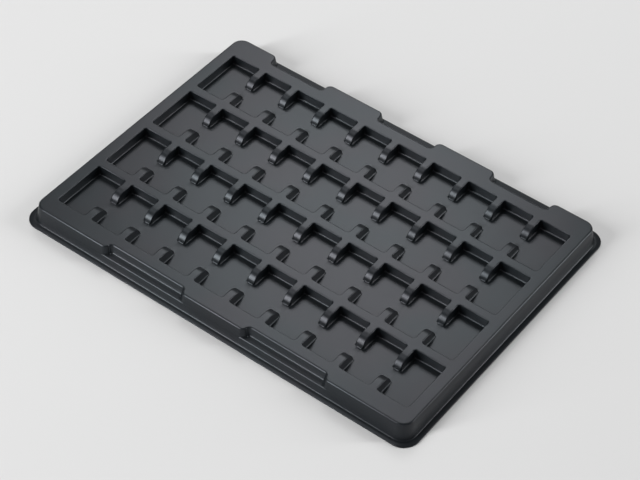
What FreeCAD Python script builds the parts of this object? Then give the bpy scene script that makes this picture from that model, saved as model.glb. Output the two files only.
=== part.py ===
import FreeCAD, Part
import math
import os

# A vacuum-formed plastic tray: one thin sheet drawn into four rows of ten pockets, with a skirt,
# a flange to stand on and stacking notches in its two long edges.
# X runs along the rows, Y runs to the back, Z is up. The origin is under the middle of the tray,
# on the surface it stands on. All lengths are in millimetres, all drafts in degrees.

# The sheet
sheet = 1.0                 # thickness of the formed plastic

# The pockets
columns = 10                # pockets in a row
rows = 4
columnPitch = 30.0
rowPitch = 50.0
pocketWidth = 24.4          # along X, at the deck
pocketLength = 43.0         # along Y, at the deck
pocketDepth = 7.5
pocketDraft = 3.0

# The ribs between neighbouring pockets: a level stretch at each end of the row, then a rounded nose
ribLevel = 7.5              # length of the level stretch, from the pocket's end wall
noseSlimness = 1.2          # length of the nose over its fall, at least 1

# The deck round the pockets
sideMargin = 9.0            # from the end pockets to the deck's left and right edges
backMargin = 19.0
frontMargin = 14.0
deckCornerRadius = 8.0

# The skirt and the flange
skirtHeight = 13.4          # from the flange's upper face to the deck
skirtDraft = 10.8
flangeWidth = 4.0
flangeCornerRadius = 12.0
deckEdgeRadius = 1.0        # rounding from the deck over into the skirt, on the upper face

# The stacking notches: three behind and two in front, so that a tray turned end for end can't nest
notchDepth = 6.8            # from the deck down to the notch's ledge
notchCornerRadius = 3.0
backNotchOffsets = (-97.0, 0.0, 97.0)
backNotchWidth = 49.0
backNotchSetback = 9.0
frontNotchOffsets = (-59.0, 59.0)
frontNotchWidth = 66.0
frontNotchSetback = 5.1

# Sizes that follow
deckZ = sheet + skirtHeight
rowLength = (columns - 1) * columnPitch + pocketWidth
deckLength = rowLength + 2 * sideMargin
deckWidth = (rows - 1) * rowPitch + pocketLength + backMargin + frontMargin
floorZ = deckZ - pocketDepth
noseRun = noseSlimness * pocketDepth
noseRadius = (noseRun ** 2 + pocketDepth ** 2) / (2 * pocketDepth)
overrun = 2.0               # how far a cutting solid reaches past the face it cuts


def run(depth, draft):
    # how far a drafted wall leans over a given depth
    return depth * math.tan(math.radians(draft))


def wallOffset(offset, draft):
    # the level distance between a drafted wall's two faces, for a sheet that is offset thick
    return offset / math.cos(math.radians(draft))


def roundedRectangle(centreX, centreY, length, width, radius, z):
    # a level outline with its four corners rounded, from straight sides and quarter rounds
    radius = min(radius, 0.499 * length, 0.499 * width)
    quarter = radius * (1 - math.sqrt(0.5))
    points = []
    for signX, signY in ((1, 1), (-1, 1), (-1, -1), (1, -1)):
        corner = FreeCAD.Vector(centreX + signX * length / 2, centreY + signY * width / 2, z)
        alongX = corner - FreeCAD.Vector(signX * radius, 0, 0)
        alongY = corner - FreeCAD.Vector(0, signY * radius, 0)
        middle = corner - FreeCAD.Vector(signX * quarter, signY * quarter, 0)
        points.append((alongY, middle, alongX) if signX == signY else (alongX, middle, alongY))
    edges = []
    for (start, middle, end), following in zip(points, points[1:] + points[:1]):
        edges.append(Part.Arc(start, middle, end).toShape())
        edges.append(Part.LineSegment(end, following[0]).toShape())
    return Part.Wire(edges)


def plainRectangle(centreX, centreY, length, width, z):
    # the four corners of a level rectangle
    signs = ((1, 1), (-1, 1), (-1, -1), (1, -1))
    return [FreeCAD.Vector(centreX + a * length / 2, centreY + b * width / 2, z) for a, b in signs]


def flatSidedBlock(low, high):
    # a solid with flat faces between two level polygons of as many corners
    count = len(low)
    sides = [[low[i], low[(i + 1) % count], high[(i + 1) % count], high[i]] for i in range(count)]
    faces = [Part.Face(Part.makePolygon(ring + ring[:1])) for ring in [low, high] + sides]
    return Part.Solid(Part.Shell(faces))


def deckBlock(offset):
    # the raised body under the sheet's upper face, or under its lower face with offset = sheet
    inset = wallOffset(offset, skirtDraft)
    outlines = []
    for z in (sheet - offset, deckZ - offset):
        spread = run(deckZ - z, skirtDraft) - inset
        outlines.append(roundedRectangle(0, 0, deckLength + 2 * spread, deckWidth + 2 * spread,
                                         deckCornerRadius + spread, z))
    block = Part.makeLoft(outlines, True, True)
    radius = deckEdgeRadius - offset
    if radius < 0.05:
        return block
    topEdges = [edge for edge in block.Edges if edge.BoundBox.ZMin > deckZ - offset - 0.01]
    return block.makeFillet(radius, topEdges)


def flangePlate(offset):
    # the flat rim that the tray stands on; with offset = sheet, the same plate one thickness lower
    spread = run(skirtHeight, skirtDraft) + flangeWidth
    outline = roundedRectangle(0, 0, deckLength + 2 * spread, deckWidth + 2 * spread,
                               flangeCornerRadius, -offset)
    return Part.Face(outline).extrude(FreeCAD.Vector(0, 0, sheet))


def pocketHollow(centreX, centreY, offset):
    # one pocket's drafted space, grown by offset on its walls and floor
    outlines = []
    for z in (floorZ - offset, deckZ + overrun):
        spread = wallOffset(offset, pocketDraft) - run(deckZ - z, pocketDraft)
        outlines.append(plainRectangle(centreX, centreY, pocketWidth + 2 * spread,
                                       pocketLength + 2 * spread, z))
    return flatSidedBlock(outlines[0], outlines[1])


def noseSection(startY, side, offset):
    # the rib's rounded end in section, from the deck at startY down to the floor; side is the way it goes
    radius = noseRadius - offset
    centreZ = deckZ - noseRadius
    footZ = floorZ - offset
    turn = math.acos(max(0.0, (footZ - centreZ) / radius))
    start, middle, end = [FreeCAD.Vector(0, startY + side * radius * math.sin(angle),
                                         centreZ + radius * math.cos(angle))
                          for angle in (0, turn / 2, turn)]
    foot = FreeCAD.Vector(0, end.y, footZ)
    edges = [Part.Arc(start, middle, end).toShape()]
    if end.z - footZ > 0.001:
        edges.append(Part.LineSegment(end, foot).toShape())
    return edges, start, foot


def channelHollow(centreY, offset):
    # the open way that joins the pockets of a row, between the noses of its ribs
    halfLevel = pocketLength / 2 - ribLevel
    backNose, backStart, backFoot = noseSection(centreY + halfLevel, -1, offset)
    frontNose, frontStart, frontFoot = noseSection(centreY - halfLevel, 1, offset)
    up = FreeCAD.Vector(0, 0, overrun + offset)
    corners = [backStart, backStart + up, frontStart + up, frontStart]
    edges = [Part.LineSegment(a, b).toShape() for a, b in zip(corners, corners[1:])]
    edges += frontNose + [Part.LineSegment(frontFoot, backFoot).toShape()] + backNose
    section = Part.Face(Part.Wire(Part.__sortEdges__(edges)))
    length = (columns - 1) * columnPitch
    section.translate(FreeCAD.Vector(-length / 2, 0, 0))
    return section.extrude(FreeCAD.Vector(length, 0, 0))


def rowHollow(centreY, offset):
    # a row of pockets and the channel through them
    firstX = -(columns - 1) * columnPitch / 2
    pockets = [pocketHollow(firstX + i * columnPitch, centreY, offset) for i in range(columns)]
    return channelHollow(centreY, offset).fuse(pockets)


def rowHollows(offset):
    # every row of pockets, from the back to the front
    backRowY = deckWidth / 2 - backMargin - pocketLength / 2
    return [rowHollow(backRowY - i * rowPitch, offset) for i in range(rows)]


def notchHollow(centreX, side, width, setback, offset):
    # a stacking notch, open to the outside; side is 1 for the back edge and -1 for the front
    outerY = deckWidth / 2 + run(skirtHeight, skirtDraft) + flangeWidth + overrun
    outlines = []
    for z in (deckZ - notchDepth - offset, deckZ + overrun):
        spread = wallOffset(offset, skirtDraft) - run(deckZ - z, skirtDraft)
        innerY = deckWidth / 2 - setback - spread
        outlines.append(roundedRectangle(centreX, side * outerY, width + 2 * spread,
                                         2 * (outerY - innerY), notchCornerRadius + spread, z))
    return Part.makeLoft(outlines, True, True)


def notchHollows(offset):
    # all the notches of both long edges
    back = [notchHollow(x, 1, backNotchWidth, backNotchSetback, offset) for x in backNotchOffsets]
    front = [notchHollow(x, -1, frontNotchWidth, frontNotchSetback, offset) for x in frontNotchOffsets]
    return back + front


def formedBody(offset):
    # everything under one face of the sheet: its upper face, or its lower face with offset = sheet
    blank = deckBlock(offset).fuse(flangePlate(offset))
    return blank.cut(notchHollows(offset)).cut(rowHollows(offset))


def tray():
    # the sheet is what lies between its two faces
    return formedBody(0).cut(formedBody(sheet)).removeSplitter().Solids[0]


os.makedirs("parts", exist_ok=True)
shape = tray()
shape.exportStep("parts/tray.step")
print("tray", shape.ShapeType, "valid", shape.isValid(), "volume", round(shape.Volume),
      "faces", len(shape.Faces))
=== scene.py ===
import math

import bmesh
import bpy
import numpy as np
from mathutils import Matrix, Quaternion, Vector
from mathutils.geometry import delaunay_2d_cdt


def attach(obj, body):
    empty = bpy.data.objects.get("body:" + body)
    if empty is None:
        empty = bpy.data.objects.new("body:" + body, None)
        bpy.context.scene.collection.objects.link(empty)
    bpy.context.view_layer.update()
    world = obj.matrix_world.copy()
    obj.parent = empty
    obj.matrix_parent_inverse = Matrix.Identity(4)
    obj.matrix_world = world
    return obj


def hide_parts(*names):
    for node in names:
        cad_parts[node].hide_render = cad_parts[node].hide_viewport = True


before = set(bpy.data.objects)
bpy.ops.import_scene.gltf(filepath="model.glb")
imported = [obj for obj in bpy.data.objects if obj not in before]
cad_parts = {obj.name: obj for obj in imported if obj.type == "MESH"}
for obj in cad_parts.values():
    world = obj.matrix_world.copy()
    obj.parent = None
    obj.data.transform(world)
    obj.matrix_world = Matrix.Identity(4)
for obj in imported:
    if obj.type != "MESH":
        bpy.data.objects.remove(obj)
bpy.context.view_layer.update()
print("frame loaded")

# The formed sheet, in millimetres and degrees. Heights count down from the deck, and x = y = 0 is its middle.
tray = {
    "sheet": 1.0,
    "deckZ": 14.4,
    "columns": 10,
    "rows": 4,
    "columnPitch": 30.0,
    "rowPitch": 50.0,
    "pocketWidth": 24.4,
    "pocketLength": 43.0,
    "pocketDepth": 7.5,
    "pocketDraft": 3.0,
    "pocketCorner": 2.0,
    "pocketRim": 0.55,
    "pocketFoot": 0.9,
    "ribLevel": 7.5,
    "noseSlimness": 1.2,
    "noseCorner": 1.3,
    "deckLength": 312.4,
    "deckWidth": 226.0,
    "backMargin": 19.0,
    "deckCorner": 8.0,
    "deckEdge": 1.1,
    "skirtHeight": 13.4,
    "skirtDraft": 10.8,
    "skirtFoot": 0.8,
    "flangeWidth": 4.0,
    "flangeCorner": 12.0,
    "flangeEdge": 0.15,
    "notchDepth": 6.8,
    "notchFoot": 1.0,
    "ledgeEdge": 0.8,
    "backNotches": (-97.0, 0.0, 97.0),
    "backWidth": 49.0,
    "backSetback": 9.0,
    "frontNotches": (-59.0, 59.0),
    "frontWidth": 66.0,
    "frontSetback": 5.1,
    "notchSlant": 1.2,
    "tabCorner": 4.0,
    "notchCorner": 3.0,
}

# How the sheet is drawn as a mesh, in steps to a round, millimetres and shares
drawn = {
    "arcSteps": 3,
    "cornerSteps": 5,
    "edgeCornerSteps": 8,
    "noseSteps": 8,
    "flat": 0.35,               # level strip kept beside every round
    "straight": 1.2,            # straight wall kept beside a pocket's corner
    "leastRound": 0.12,         # tightest rim of the lower face
    "leastNoseCorner": 0.2,
    "leastRoom": 0.1,           # share of its rounds that a wall keeps where its height runs out
    "roomSlack": 1.02,
    "noseTip": 0.9,             # share of the sheet by which the lower face's nose ends sooner
    "ledgeFade": 2.5,           # width at which a ledge has its full rounds
    "ledgeBand": (0.4, 2.0),    # where their points lie on the plain skirt, from the ledge's height
    "outlineDigits": 4,
    "outlineSlack": 1e-5,
    "weld": 0.002,
}


# How far a drafted wall's top corner moves in on the sheet's lower face
def cornerShift(under, lean):
    return -under * (1 - math.sin(lean)) / math.cos(lean)


# A drafted wall in section. It starts level, turns down on a round of radius rim, falls straight with the
# draft, and turns level again on a round of radius foot: out = corner - rim tan(t/2) + rim sin(a) and
# z = top - rim (1 - cos a) over the rim, and the same turned round at the foot, with a from 0 to t = 90 - draft.
# under moves it to the sheet's lower face, which lies that much deeper along the surface's normal.
def wallSection(top, fall, draft, rim, foot, under):
    lean = math.radians(draft)
    turn = math.pi / 2 - lean
    top = np.asarray(top, float)[..., None]
    fall = np.asarray(fall, float)[..., None]
    rimRound = max(rim - under, drawn["leastRound"])
    footRound = foot + under
    roundsFall = (rimRound + footRound) * (1 - math.sin(lean)) * drawn["roomSlack"]
    room = np.clip(fall / roundsFall, drawn["leastRoom"], 1.0)
    rimRound = rimRound * room
    footRound = footRound * room
    a = np.linspace(0, turn, drawn["arcSteps"] + 1)
    rimCorner = cornerShift(under, lean) - rimRound * math.tan(turn / 2)
    footCorner = cornerShift(under, lean) + fall * math.tan(lean) + footRound * math.tan(turn / 2)
    out = np.concatenate([rimCorner - drawn["flat"],
                          rimCorner + rimRound * np.sin(a),
                          footCorner - footRound * np.sin(a[::-1]),
                          footCorner + drawn["flat"]], axis=-1)
    z = np.concatenate([top + 0 * room,
                        top - rimRound * (1 - np.cos(a)),
                        top - fall + footRound * (1 - np.cos(a[::-1])),
                        top - fall + 0 * room], axis=-1)
    return out, np.clip(z, top - fall, top)


# A polygon with rounded corners: at each corner the path leaves its side r tan(turn / 2) early, turns on a
# circle of radius r, and carries its outward normal n(a) with it: p = centre + s r n(a), s the turn's sign.
def roundedPath(corners, radii, steps):
    corners = np.asarray(corners, float)
    before = corners - np.roll(corners, 1, axis=0)
    after = np.roll(before, -1, axis=0)
    before = before / np.linalg.norm(before, axis=1, keepdims=True)
    after = after / np.linalg.norm(after, axis=1, keepdims=True)
    across = before[:, 0] * after[:, 1] - before[:, 1] * after[:, 0]
    turn = np.arctan2(across, (before * after).sum(axis=1))
    side = np.sign(turn)[:, None]
    radii = np.asarray(radii, float)[:, None]
    startNormal = np.stack([before[:, 1], -before[:, 0]], axis=1)
    start = corners - before * radii * np.tan(np.abs(turn) / 2)[:, None]
    centre = start - side * radii * startNormal
    startAngle = np.arctan2(startNormal[:, 1], startNormal[:, 0])
    angle = startAngle[:, None] + turn[:, None] * np.linspace(0, 1, steps + 1)
    normal = np.stack([np.cos(angle), np.sin(angle)], axis=-1)
    return centre[:, None] + (side * radii)[:, None] * normal, normal


# A section carried along a path: the grid p = path + out n, with every point at its section's height z
def carried(path, normal, out, z):
    plan = path[:, None] + normal[:, None] * out[None, :, None]
    height = np.broadcast_to(z[None, :, None], plan.shape[:2] + (1,))
    return np.concatenate([plan, height], axis=-1)


# The middles of count pockets or ribs along a row, centred
def alongRow(count):
    return (np.arange(count) - (count - 1) / 2) * tray["columnPitch"]


# The middles of the rows, from the back to the front
def rowMiddles():
    backY = tray["deckWidth"] / 2 - tray["backMargin"] - tray["pocketLength"] / 2
    return backY - tray["rowPitch"] * np.arange(tray["rows"])


# Copies of one grid, in every row at the places x
def inEveryRow(grid, x):
    places = np.stack(np.broadcast_arrays(x[:, None], rowMiddles()[None, :], 0.0), axis=-1)
    return grid[None, None] + places[:, :, None, None]


# Faces of a grid of vertex numbers, one four-sided face to a cell
def gridFaces(numbers):
    a, b = numbers[..., :-1, :-1], numbers[..., 1:, :-1]
    c, d = numbers[..., 1:, 1:], numbers[..., :-1, 1:]
    return np.stack([a, b, c, d], axis=-1).reshape(-1, 4)


# Collects grids of points as one list of vertices and faces, with the edges where flat areas begin
class Sheet:
    def __init__(self):
        self.points = []
        self.faces = []
        self.count = 0
        self.rings = {"deck": [], "floor": []}

    def add(self, grid, flip=False, deck=(), floor=()):
        numbers = self.count + np.arange(grid[..., 0].size).reshape(grid.shape[:-1])
        self.points.append(grid.reshape(-1, 3))
        self.count += grid[..., 0].size
        faces = gridFaces(numbers)
        self.faces.append(faces[:, ::-1] if flip else faces)
        for name, lines in (("deck", deck), ("floor", floor)):
            for line in lines:
                picked = numbers[line]
                pairs = np.stack([picked[..., :-1], picked[..., 1:]], axis=-1)
                self.rings[name].append(pairs.reshape(-1, 2))

    # Fills a flat area between its outlines with triangles that use only the outlines' own vertices. A
    # triangle is kept where a line from its middle to the right crosses the outlines an odd number of times.
    def fill(self, name, z):
        points = np.concatenate(self.points)
        used, inverse = np.unique(np.concatenate(self.rings[name]), return_inverse=True)
        outline = np.round(points[used][:, :2], drawn["outlineDigits"])
        places, back = np.unique(outline, axis=0, return_inverse=True)
        edges = back.reshape(-1)[inverse.reshape(-1)].reshape(-1, 2)
        found = delaunay_2d_cdt([Vector(p) for p in places], edges.tolist(), [], 0, drawn["outlineSlack"])
        flat, faces = np.array([v[:] for v in found[0]]), np.array(found[2])
        middle = flat[faces].mean(axis=1)
        x0, y0 = places[edges[:, 0]].T
        x1, y1 = places[edges[:, 1]].T
        spans = (y0[None] > middle[:, 1:]) != (y1[None] > middle[:, 1:])
        crossing = x0 + (middle[:, 1:] - y0) * (x1 - x0) / np.where(y1 == y0, 1.0, y1 - y0)
        faces = faces[(spans & (crossing > middle[:, :1])).sum(axis=1) % 2 == 1]
        a, b, c = flat[faces[:, 0]], flat[faces[:, 1]], flat[faces[:, 2]]
        area = (b[:, 0] - a[:, 0]) * (c[:, 1] - a[:, 1]) - (b[:, 1] - a[:, 1]) * (c[:, 0] - a[:, 0])
        self.faces.append(np.where(area[:, None] < 0, faces[:, ::-1], faces) + self.count)
        self.points.append(np.column_stack([flat, np.full(len(flat), z)]))
        self.count += len(flat)


# The ends of the pockets: the wall's section carried along the pocket's outline, p = path - out n. The pockets
# inside a row have two such bands, at the back and at the front, and the first and the last pocket one round
# three sides.
def pocketEnds(sheet, under):
    halfX, halfY = tray["pocketWidth"] / 2, tray["pocketLength"] / 2
    endY = halfY - tray["pocketCorner"] - drawn["straight"]
    corners = [(halfX, halfY), (-halfX, halfY), (-halfX, -halfY), (halfX, -halfY)]
    arcs, normals = roundedPath(corners, [tray["pocketCorner"]] * len(corners), drawn["cornerSteps"])
    out, z = wallSection(-under, tray["pocketDepth"], tray["pocketDraft"], tray["pocketRim"],
                         tray["pocketFoot"], under)
    columnX = alongRow(tray["columns"])

    def band(which, startSide, endSide, columns):
        start = [[startSide[0] * halfX, startSide[1] * endY]]
        end = [[endSide[0] * halfX, endSide[1] * endY]]
        path = np.concatenate([start, arcs[which].reshape(-1, 2), end])
        normal = np.concatenate([[[startSide[0], 0.0]], normals[which].reshape(-1, 2), [[endSide[0], 0.0]]])
        grid = carried(path, -normal, out, z)
        sheet.add(inEveryRow(grid, columnX[columns]), deck=[(Ellipsis, 0)], floor=[(Ellipsis, -1)])

    inner = slice(1, -1)
    band([0, 1], (1, 1), (-1, 1), inner)
    band([2, 3], (-1, -1), (1, -1), inner)
    band([0, 1, 2, 3], (1, 1), (1, -1), slice(0, 1))
    band([2, 3, 0, 1], (-1, -1), (-1, 1), slice(-1, None))


# The ribs between the pockets. Along its middle a rib is level, then follows a circle of radius r,
# v = level + r sin(a) and z = r cos(a) - r, and a smaller circle turned the other way out to the floor. Across,
# at every v, it is the wall's section on both sides, with the wall's height taken from that middle line.
def ribs(sheet, under):
    depth = tray["pocketDepth"]
    run = tray["noseSlimness"] * depth
    radius = (run ** 2 + depth ** 2) / (2 * depth)
    foot = tray["pocketFoot"] + under
    nose = radius - under
    rise = radius - depth - under + foot
    last = math.acos(rise / (nose + foot))
    a = np.linspace(0, last, drawn["noseSteps"] + 1)
    b = np.linspace(last, 0, drawn["arcSteps"] + 2)[1:]
    level = tray["ribLevel"]
    footV = level + (nose + foot) * math.sin(last)
    startV = tray["pocketCorner"] + drawn["straight"]
    v = np.concatenate([[startV], level + nose * np.sin(a), footV - foot * np.sin(b)])
    top = np.concatenate([[-under], nose * np.cos(a) - radius, rise - radius - foot * np.cos(b)])
    out, z = wallSection(top, top + depth + under, tray["pocketDraft"], tray["pocketRim"],
                         tray["pocketFoot"], under)
    # on the floor itself the section has no height, so its points are spread evenly
    out[-1] = np.linspace(out[-1, 0], out[-1, -1], out.shape[1])

    # the nose's sides draw in on a round, so that its foot is no square post
    cornerRound = max(tray["noseCorner"] - under, drawn["leastNoseCorner"])
    tip = level + run - under * drawn["noseTip"]
    past = np.clip((v - (tip - cornerRound)) / cornerRound, 0, 1)
    drawIn = cornerRound * (1 - np.sqrt(1 - past ** 2))
    halfRib = (tray["columnPitch"] - tray["pocketWidth"]) / 2
    lean = math.tan(math.radians(tray["pocketDraft"]))
    half = halfRib + ((-under - top) * lean - drawIn)[:, None] + out
    x = np.concatenate([-half[:, ::-1], half], axis=1)
    z = np.concatenate([z[:, ::-1], z], axis=1)
    sections = out.shape[1]
    for side in (1, -1):
        y = np.broadcast_to((side * (tray["pocketLength"] / 2 - v))[:, None], x.shape)
        grid = np.stack([x, y, z], axis=-1)
        sheet.add(inEveryRow(grid, alongRow(tray["columns"] - 1)), flip=side < 0,
                  deck=[(Ellipsis, 0, slice(sections - 1, sections + 1))],
                  floor=[(Ellipsis, slice(None), 0), (Ellipsis, -1, slice(None)), (Ellipsis, slice(None), -1)])


# The deck's outline with its notches, and beside each of its points the point of the plain outline outside it
def deckOutline():
    halfX, halfY = tray["deckLength"] / 2, tray["deckWidth"] / 2
    slant = tray["notchSlant"]

    def notch(centre, width, setback, side):
        near, far = centre + side * width / 2, centre - side * width / 2
        edge, inner = side * halfY, side * (halfY - setback)
        return [(near, edge), (near - side * slant, inner), (far + side * slant, inner), (far, edge)]

    notchRadii = [tray["tabCorner"], tray["notchCorner"], tray["notchCorner"], tray["tabCorner"]]
    corners, radii = [(-halfX, -halfY)], [tray["deckCorner"]]
    for centre in tray["frontNotches"]:
        corners += notch(centre, tray["frontWidth"], tray["frontSetback"], -1)
        radii += notchRadii
    corners += [(halfX, -halfY), (halfX, halfY)]
    radii += [tray["deckCorner"]] * 2
    for centre in tray["backNotches"][::-1]:
        corners += notch(centre, tray["backWidth"], tray["backSetback"], 1)
        radii += notchRadii
    corners += [(-halfX, halfY)]
    radii += [tray["deckCorner"]]
    inner, innerNormal = roundedPath(corners, radii, drawn["edgeCornerSteps"])
    outer, outerNormal = inner.copy(), innerNormal.copy()
    isCorner = np.abs(np.asarray(corners)[:, 0]) == halfX
    notchArcs = np.flatnonzero(~isCorner).reshape(-1, 4)
    for pair in (notchArcs[:, :2], notchArcs[:, 2:]):
        arcs = inner[pair].reshape(len(pair), -1, 2)
        share = np.linspace(0, 1, arcs.shape[1])
        x = arcs[:, :1, 0] * (1 - share) + arcs[:, -1:, 0] * share
        side = np.sign(arcs[:, :1, 1]) + 0 * x
        outer[pair] = np.stack([x, side * halfY], axis=-1).reshape(len(pair), 2, -1, 2)
        outerNormal[pair] = np.stack([0 * x, side], axis=-1).reshape(len(pair), 2, -1, 2)
    flangeR = tray["flangeCorner"]
    spread = tray["skirtHeight"] * math.tan(math.radians(tray["skirtDraft"])) + tray["flangeWidth"]
    flange = outer + outerNormal * spread
    signs = np.sign(np.asarray(corners)[isCorner])[:, None]
    flange[isCorner] = signs * (np.array([halfX, halfY]) + spread - flangeR) + flangeR * outerNormal[isCorner]
    return [part.reshape(-1, 2) for part in (inner, innerNormal, outer, outerNormal, flange)]


# The deck's edge, the notches, the skirt and the flange: one section carried round the deck's outline. Where
# there is a notch the section steps out along the ledge, p = inner + out n above and outer + out m below it, and
# where the ledge's width g is nothing the same points lie on the plain skirt, blended by min(1, g / fade).
def rim(sheet, under):
    inner, innerNormal, outer, outerNormal, flange = deckOutline()
    lean = math.radians(tray["skirtDraft"])
    depth = tray["notchDepth"]
    notchOut, notchZ = wallSection(-under, depth, tray["skirtDraft"], tray["deckEdge"],
                                   tray["notchFoot"], under)
    lowOut, lowZ = wallSection(-under - depth, tray["skirtHeight"] - depth, tray["skirtDraft"],
                               tray["ledgeEdge"], tray["skirtFoot"], under)
    ledge = depth * math.tan(lean)
    lowOut = lowOut + ledge
    gap = np.linalg.norm(outer + outerNormal * ledge - inner - innerNormal * ledge, axis=1)
    share = np.clip(gap / drawn["ledgeFade"], 0, 1)[:, None, None]
    half = drawn["arcSteps"] + 2

    def onSkirt(path, normal, depths):
        return carried(path, normal, cornerShift(under, lean) + depths * math.tan(lean), -under - depths)

    near, far = drawn["ledgeBand"]
    top = carried(inner, innerNormal, notchOut[:half], notchZ[:half])
    foot = carried(inner, innerNormal, notchOut[half:-1], notchZ[half:-1])
    edge = carried(outer, outerNormal, lowOut[1:half], lowZ[1:half])
    base = carried(outer, outerNormal, lowOut[half:], lowZ[half:])
    plainFoot = onSkirt(inner, innerNormal, np.linspace(depth - far, depth - near, half - 1))
    plainEdge = onSkirt(outer, outerNormal, np.linspace(depth + near, depth + far, half - 1))
    foot = foot * share + plainFoot * (1 - share)
    edge = edge * share + plainEdge * (1 - share)
    trim = carried(flange, outerNormal, np.array([-tray["flangeEdge"]]),
                   np.array([-tray["skirtHeight"] - under]))
    grid = np.concatenate([top, foot, edge, base, trim], axis=1)
    sheet.add(np.concatenate([grid, grid[:1]]), flip=True, deck=[(Ellipsis, 0)])


# One face of the sheet, upper or lower, as points and faces
def sheetFace(under):
    face = Sheet()
    pocketEnds(face, under)
    ribs(face, under)
    rim(face, under)
    face.fill("deck", -under)
    face.fill("floor", -tray["pocketDepth"] - under)
    return face


# The trimmed edge of the flange, from the upper face to the lower one, with its two sharp corners taken off
def trimmedEdge():
    normal, flange = deckOutline()[3:]
    bevel = tray["flangeEdge"]
    upperZ = -tray["skirtHeight"]
    lowerZ = upperZ - tray["sheet"]
    grid = carried(flange, normal, np.array([-bevel, 0, 0, -bevel]),
                   np.array([upperZ, upperZ - bevel, lowerZ + bevel, lowerZ]))
    edge = Sheet()
    edge.add(np.concatenate([grid, grid[:1]]), flip=True)
    return edge


# The whole tray: both faces, the lower one turned over, and the trimmed edge between them, welded where they meet
def makeTray():
    points, faces, count = [], [], 0
    for part, turned in ((sheetFace(0.0), False), (sheetFace(tray["sheet"]), True), (trimmedEdge(), False)):
        points += part.points
        for block in part.faces:
            faces += ((block[:, ::-1] if turned else block) + count).tolist()
        count += part.count
    points = np.concatenate(points)
    points[:, 2] += tray["deckZ"]
    mesh = bpy.data.meshes.new("formedSheet")
    mesh.from_pydata(points / 1000, [], faces)
    bm = bmesh.new()
    bm.from_mesh(mesh)
    bmesh.ops.remove_doubles(bm, verts=bm.verts, dist=drawn["weld"] / 1000)
    bm.to_mesh(mesh)
    bm.free()
    mesh.shade_smooth()
    piece = bpy.data.objects.new("formedSheet", mesh)
    bpy.context.scene.collection.objects.link(piece)
    return piece


formedSheet = makeTray()
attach(formedSheet, "root")
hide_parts("tray")
print("tray made")

# Black plastic with the soft, slightly uneven shine of a formed sheet. Sizes in metres; the drift of the bluish
# tint over the sheet, its slow waves and its fine grain are noise on Object coordinates.
blackSheet = {
    "color": (0.0062, 0.0078, 0.0094),
    "bluish": (0.83, 0.92, 1.0),
    "violet": (0.89, 0.91, 1.0),
    "tintSize": 0.06,
    "tintRange": (0.4, 0.6),
    "tintDetail": 1.0,
    "roughness": 0.34,
    "specular": 0.34,
    "waveSize": 0.045,
    "waveDetail": 1.5,
    "waveDepth": 0.10,
    "grainSize": 0.0013,
    "grainDetail": 1.0,
    "grainDepth": 0.05,
    "bumpHeight": 0.05,
}


def makeBlackSheet():
    material = bpy.data.materials.new("blackSheet")
    material.use_nodes = True
    nodes, links = material.node_tree.nodes, material.node_tree.links
    shader = nodes["Principled BSDF"]
    shader.inputs["Base Color"].default_value = (*blackSheet["color"], 1)
    shader.inputs["Roughness"].default_value = blackSheet["roughness"]
    shader.inputs["Specular IOR Level"].default_value = blackSheet["specular"]
    place = nodes.new("ShaderNodeTexCoord")

    def noise(name):
        node = nodes.new("ShaderNodeTexNoise")
        node.inputs["Scale"].default_value = 1 / blackSheet[name + "Size"]
        node.inputs["Detail"].default_value = blackSheet[name + "Detail"]
        links.new(place.outputs["Object"], node.inputs["Vector"])
        return node.outputs["Fac"]

    def bump(name):
        node = nodes.new("ShaderNodeBump")
        node.inputs["Strength"].default_value = blackSheet[name + "Depth"]
        node.inputs["Distance"].default_value = blackSheet[name + "Size"] * blackSheet["bumpHeight"]
        links.new(noise(name), node.inputs["Height"])
        return node

    waves, grain = bump("wave"), bump("grain")
    links.new(waves.outputs["Normal"], grain.inputs["Normal"])
    links.new(grain.outputs["Normal"], shader.inputs["Normal"])
    tint = nodes.new("ShaderNodeValToRGB")
    colors = (blackSheet["bluish"], blackSheet["violet"])
    for stop, position, color in zip(tint.color_ramp.elements, blackSheet["tintRange"], colors):
        stop.position = position
        stop.color = (*color, 1)
    links.new(noise("tint"), tint.inputs["Fac"])
    links.new(tint.outputs["Color"], shader.inputs["Specular Tint"])
    return material


formedSheet.data.materials.append(makeBlackSheet())
print("material made")

# The studio, in metres and watts: a pale floor, an even world, and soft lamps that all aim at the tray, each with
# its place, its size and its power. The mirror lamp is the one the level deck mirrors to the camera; frontLeft and
# backRight are tall strips that shine along the noses and the rounded edges.
studio = {
    "floorHalf": 3.0,
    "floorColor": (0.72, 0.72, 0.72),
    "floorRoughness": 0.9,
    "worldColor": (0.85, 0.85, 0.85),
    "worldStrength": 0.28,
    "lamps": {
        "mirror": ((-0.68, 1.05, 1.32), (0.6, 0.6), 7.8),
        "upper": ((-0.80, 0.0, 1.85), (0.9, 0.9), 5.5),
        "frontLeft": ((-1.20, -2.30, 1.00), (0.45, 1.9), 78),
        "backRight": ((2.32, 1.94, 1.20), (0.45, 2.0), 58),
    },
}

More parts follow.
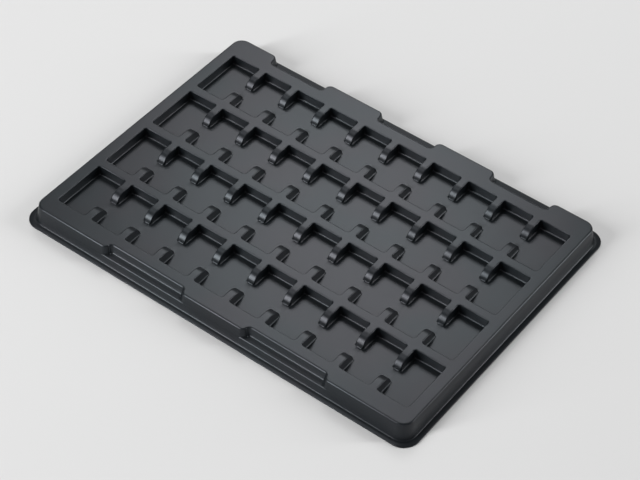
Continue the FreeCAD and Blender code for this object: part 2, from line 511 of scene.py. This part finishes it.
half = studio["floorHalf"]
floorMesh = bpy.data.meshes.new("floor")
floorMesh.from_pydata([(-half, -half, 0), (half, -half, 0), (half, half, 0), (-half, half, 0)], [], [(0, 1, 2, 3)])
floor = bpy.data.objects.new("floor", floorMesh)
bpy.context.scene.collection.objects.link(floor)
floorMaterial = bpy.data.materials.new("paleFloor")
floorMaterial.use_nodes = True
floorShader = floorMaterial.node_tree.nodes["Principled BSDF"]
floorShader.inputs["Base Color"].default_value = (*studio["floorColor"], 1)
floorShader.inputs["Roughness"].default_value = studio["floorRoughness"]
floorShader.inputs["Specular IOR Level"].default_value = 0.0
floorMesh.materials.append(floorMaterial)

world = bpy.data.worlds.new("studio")
bpy.context.scene.world = world
world.use_nodes = True
background = world.node_tree.nodes["Background"]
background.inputs["Color"].default_value = (*studio["worldColor"], 1)
background.inputs["Strength"].default_value = studio["worldStrength"]

for name, (place, size, power) in studio["lamps"].items():
    light = bpy.data.lights.new(name, "AREA")
    light.shape = "RECTANGLE"
    light.size, light.size_y = size
    light.energy = power
    lamp = bpy.data.objects.new(name, light)
    lamp.location = place
    lamp.rotation_euler = (-Vector(place)).to_track_quat("-Z", "Y").to_euler()
    bpy.context.scene.collection.objects.link(lamp)

# The camera: where it stands, what it looks at, in metres, and how far it is turned about its own line of sight
view = {
    "place": (0.5690, -0.8079, 1.0218),
    "aim": (0.0083, -0.0056, 0.0),
    "rollDegrees": 2.815,
    "lens": 115.96,
    "sensorWidth": 36,
    "clipStart": 0.05,
}

camera = bpy.data.objects.new("camera", bpy.data.cameras.new("camera"))
bpy.context.scene.collection.objects.link(camera)
camera.data.lens = view["lens"]
camera.data.sensor_width = view["sensorWidth"]
camera.data.clip_start = view["clipStart"]
camera.location = view["place"]
sight = (Vector(view["aim"]) - Vector(view["place"])).to_track_quat("-Z", "Y")
camera.rotation_euler = (sight @ Quaternion((0, 0, 1), math.radians(view["rollDegrees"]))).to_euler()
bpy.context.scene.camera = camera
bpy.context.scene.view_settings.view_transform = "Standard"
print("studio made")
